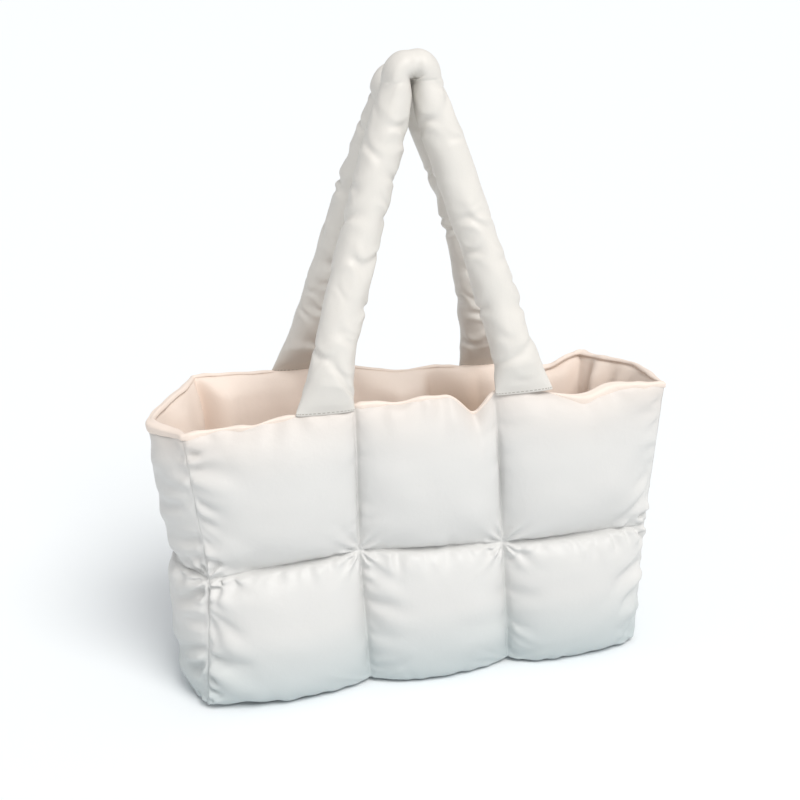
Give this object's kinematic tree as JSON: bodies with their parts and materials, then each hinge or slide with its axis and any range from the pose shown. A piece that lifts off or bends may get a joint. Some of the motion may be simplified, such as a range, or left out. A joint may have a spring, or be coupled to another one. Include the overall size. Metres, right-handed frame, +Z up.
{
  "type": "padded tote bag",
  "caption": "Soft quilted tote bag with puffed square panels, a loose lining, an open top and two padded tube handles.",
  "frame": {"origin": "on the floor, under the middle of the bag's flat underside", "axes": "+Z up through the handles, +X to the right along the front, -Y out of the front, which the picture shows"},
  "size_m": [0.5069, 0.2288, 0.6159],
  "materials": {
    "shell": "matte white padded nylon",
    "lining": "smooth pinkish cream lining cloth",
    "handle": "matte white padded nylon"
  },
  "bodies": {
    "root": {"front_panel": "shell", "back_panel": "shell", "gusset_left": "shell", "gusset_right": "shell", "base_panel": "shell", "lining": "lining", "handle_front": "handle", "handle_back": "handle"}
  },
  "joints": []
}
